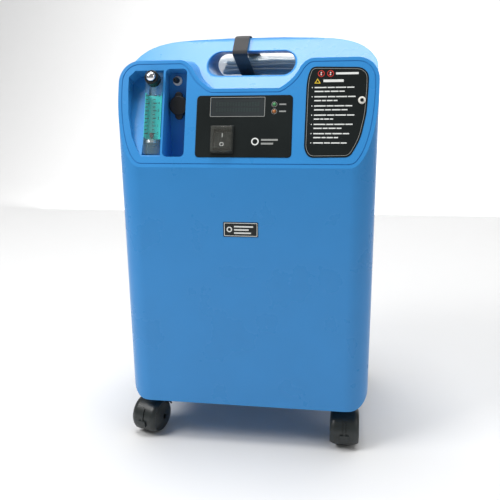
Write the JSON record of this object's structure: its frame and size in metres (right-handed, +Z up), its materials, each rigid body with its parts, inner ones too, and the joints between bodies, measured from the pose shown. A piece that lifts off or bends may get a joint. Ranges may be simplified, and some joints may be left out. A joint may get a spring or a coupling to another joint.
{
  "type": "oxygen concentrator",
  "caption": "Home oxygen concentrator: blue cabinet with leaning control face, flowmeter bay, handle arch with strap and spares bag, on braked twin-wheel castors.",
  "frame": {"origin": "centre of the overall box, on the floor", "axes": "+Z up, -Y towards the front (control face), +X to the viewer's right"},
  "size_m": [0.3539, 0.2894, 0.5861],
  "materials": {
    "shell_blue": "satin",
    "panel_black": "gloss",
    "castor_black": "satin",
    "rubber_black": "matte",
    "display_smoke": "gloss",
    "led_green": "gloss",
    "led_amber": "gloss",
    "clear_silicone": "gloss",
    "clear_acrylic": "clear gloss",
    "scale_teal": "satin",
    "steel": "satin",
    "float_red": "gloss",
    "chrome": "polished",
    "white_plastic": "satin",
    "grey_plastic": "satin",
    "webbing": "matte",
    "clear_film": "clear gloss",
    "foam": "matte",
    "cast_alloy": "satin",
    "copper": "bright",
    "circuit_board": "satin"
  },
  "bodies": {
    "cabinet": {"front_shell": "shell_blue", "rear_shell": "shell_blue", "display_panel": "panel_black", "switch_housing": "panel_black", "notice_label": "panel_black", "front_badge": "panel_black", "power_inlet": "panel_black", "fan_frame": "panel_black", "exhaust_grille": "castor_black", "outlet_nipple": "castor_black", "intake_muffler": "castor_black", "pump_mount_1": "rubber_black", "pump_mount_2": "rubber_black", "pump_mount_3": "rubber_black", "pump_mount_4": "rubber_black", "lcd_module": "display_smoke", "led_run": "led_green", "led_alarm": "led_amber", "switch_boot": "clear_silicone", "flowmeter_body": "clear_acrylic", "flow_scale": "scale_teal", "base_pan": "steel", "flow_seat": "steel", "outlet_ring": "white_plastic", "breaker_body": "white_plastic", "product_tank": "white_plastic", "aux_port": "grey_plastic", "start_capacitor": "grey_plastic", "strap": "webbing", "accessory_bag": "clear_film", "intake_filter": "foam", "compressor": "cast_alloy", "sieve_tower_left": "cast_alloy", "sieve_tower_right": "cast_alloy", "valve_block": "cast_alloy", "cooling_coil": "copper", "control_board": "circuit_board"},
    "castor_front_right": {"castor_front_right_hood": "castor_black"},
    "castor_front_right_wheel_inner": {"castor_front_right_wheel_inner": "castor_black"},
    "castor_front_right_wheel_outer": {"castor_front_right_wheel_outer": "castor_black"},
    "castor_front_right_brake": {"castor_front_right_brake": "castor_black"},
    "castor_front_left": {"castor_front_left_hood": "castor_black"},
    "castor_front_left_wheel_inner": {"castor_front_left_wheel_inner": "castor_black"},
    "castor_front_left_wheel_outer": {"castor_front_left_wheel_outer": "castor_black"},
    "castor_front_left_brake": {"castor_front_left_brake": "castor_black"},
    "castor_rear_right": {"castor_rear_right_hood": "castor_black"},
    "castor_rear_right_wheel_inner": {"castor_rear_right_wheel_inner": "castor_black"},
    "castor_rear_right_wheel_outer": {"castor_rear_right_wheel_outer": "castor_black"},
    "castor_rear_left": {"castor_rear_left_hood": "castor_black"},
    "castor_rear_left_wheel_inner": {"castor_rear_left_wheel_inner": "castor_black"},
    "castor_rear_left_wheel_outer": {"castor_rear_left_wheel_outer": "castor_black"},
    "rocker": {"switch_rocker": "panel_black"},
    "flow_knob": {"flow_knob": "panel_black", "knob_cap": "chrome"},
    "float": {"flow_float": "float_red"},
    "reset": {"reset_button": "panel_black"},
    "port_cap": {"port_cap": "rubber_black"},
    "fan": {"fan_rotor": "panel_black"},
    "intake_cover": {"intake_cover": "shell_blue"}
  },
  "joints": [
    {"name": "castor_front_right_swivel", "type": "hinge", "parent": "cabinet", "child": "castor_front_right", "pos_m": [0.143, -0.092, 0.06], "axis": [0, 0, 1], "continuous": true},
    {"name": "castor_front_right_wheel_inner_spin", "type": "hinge", "parent": "castor_front_right", "child": "castor_front_right_wheel_inner", "pos_m": [0.131, -0.112, 0.025], "axis": [1, 0, 0], "continuous": true},
    {"name": "castor_front_right_wheel_outer_spin", "type": "hinge", "parent": "castor_front_right", "child": "castor_front_right_wheel_outer", "pos_m": [0.155, -0.112, 0.025], "axis": [1, 0, 0], "continuous": true},
    {"name": "castor_front_right_brake_press", "type": "hinge", "parent": "castor_front_right", "child": "castor_front_right_brake", "pos_m": [0.143, -0.13406, 0.04351], "axis": [-1, 0, 0], "range_deg": [0, 12]},
    {"name": "castor_front_left_swivel", "type": "hinge", "parent": "cabinet", "child": "castor_front_left", "pos_m": [-0.143, -0.092, 0.06], "axis": [0, 0, 1], "continuous": true},
    {"name": "castor_front_left_wheel_inner_spin", "type": "hinge", "parent": "castor_front_left", "child": "castor_front_left_wheel_inner", "pos_m": [-0.16112, -0.10669, 0.025], "axis": [0.9397, -0.342, 0], "continuous": true},
    {"name": "castor_front_left_wheel_outer_spin", "type": "hinge", "parent": "castor_front_left", "child": "castor_front_left_wheel_outer", "pos_m": [-0.13856, -0.1149, 0.025], "axis": [0.9397, -0.342, 0], "continuous": true},
    {"name": "castor_front_left_brake_press", "type": "hinge", "parent": "castor_front_left", "child": "castor_front_left_brake", "pos_m": [-0.15739, -0.13153, 0.04351], "axis": [-0.9397, 0.342, 0], "range_deg": [0, 12]},
    {"name": "castor_rear_right_swivel", "type": "hinge", "parent": "cabinet", "child": "castor_rear_right", "pos_m": [0.143, 0.092, 0.06], "axis": [0, 0, 1], "continuous": true},
    {"name": "castor_rear_right_wheel_inner_spin", "type": "hinge", "parent": "castor_rear_right", "child": "castor_rear_right_wheel_inner", "pos_m": [0.16059, 0.10731, 0.025], "axis": [-0.9511, 0.309, 0], "continuous": true},
    {"name": "castor_rear_right_wheel_outer_spin", "type": "hinge", "parent": "castor_rear_right", "child": "castor_rear_right_wheel_outer", "pos_m": [0.13777, 0.11473, 0.025], "axis": [-0.9511, 0.309, 0], "continuous": true},
    {"name": "castor_rear_left_swivel", "type": "hinge", "parent": "cabinet", "child": "castor_rear_left", "pos_m": [-0.143, 0.092, 0.06], "axis": [0, 0, 1], "continuous": true},
    {"name": "castor_rear_left_wheel_inner_spin", "type": "hinge", "parent": "castor_rear_left", "child": "castor_rear_left_wheel_inner", "pos_m": [-0.13737, 0.11464, 0.025], "axis": [-0.9563, -0.2924, 0], "continuous": true},
    {"name": "castor_rear_left_wheel_outer_spin", "type": "hinge", "parent": "castor_rear_left", "child": "castor_rear_left_wheel_outer", "pos_m": [-0.16032, 0.10762, 0.025], "axis": [-0.9563, -0.2924, 0], "continuous": true},
    {"name": "rocker_tilt", "type": "hinge", "parent": "cabinet", "child": "rocker", "pos_m": [-0.02805, -0.12915, 0.44447], "axis": [1, 0, 0], "range_deg": [0, 16]},
    {"name": "flow_knob_turn", "type": "hinge", "parent": "cabinet", "child": "flow_knob", "pos_m": [-0.1248, -0.10463, 0.52265], "axis": [0, -0.9466, 0.3224], "range_deg": [0, 720]},
    {"name": "float_rise", "type": "slide", "parent": "cabinet", "child": "float", "axis": [0, 0.3224, 0.9466], "range_m": [0, 0.05]},
    {"name": "reset_push", "type": "slide", "parent": "cabinet", "child": "reset", "axis": [0, 0.9466, -0.3224], "range_m": [0, 0.0018], "stiffness_N_per_m": 400},
    {"name": "port_cap_flip", "type": "hinge", "parent": "cabinet", "child": "port_cap", "pos_m": [-0.0945, -0.09234, 0.50578], "axis": [-1, 0, 0], "range_deg": [0, 80]},
    {"name": "fan_spin", "type": "hinge", "parent": "cabinet", "child": "fan", "pos_m": [0, 0.116, 0.151], "axis": [0, 1, 0], "continuous": true},
    {"name": "intake_cover_lift", "type": "slide", "parent": "cabinet", "child": "intake_cover", "axis": [0, 0, 1], "range_m": [0, 0.045]}
  ]
}
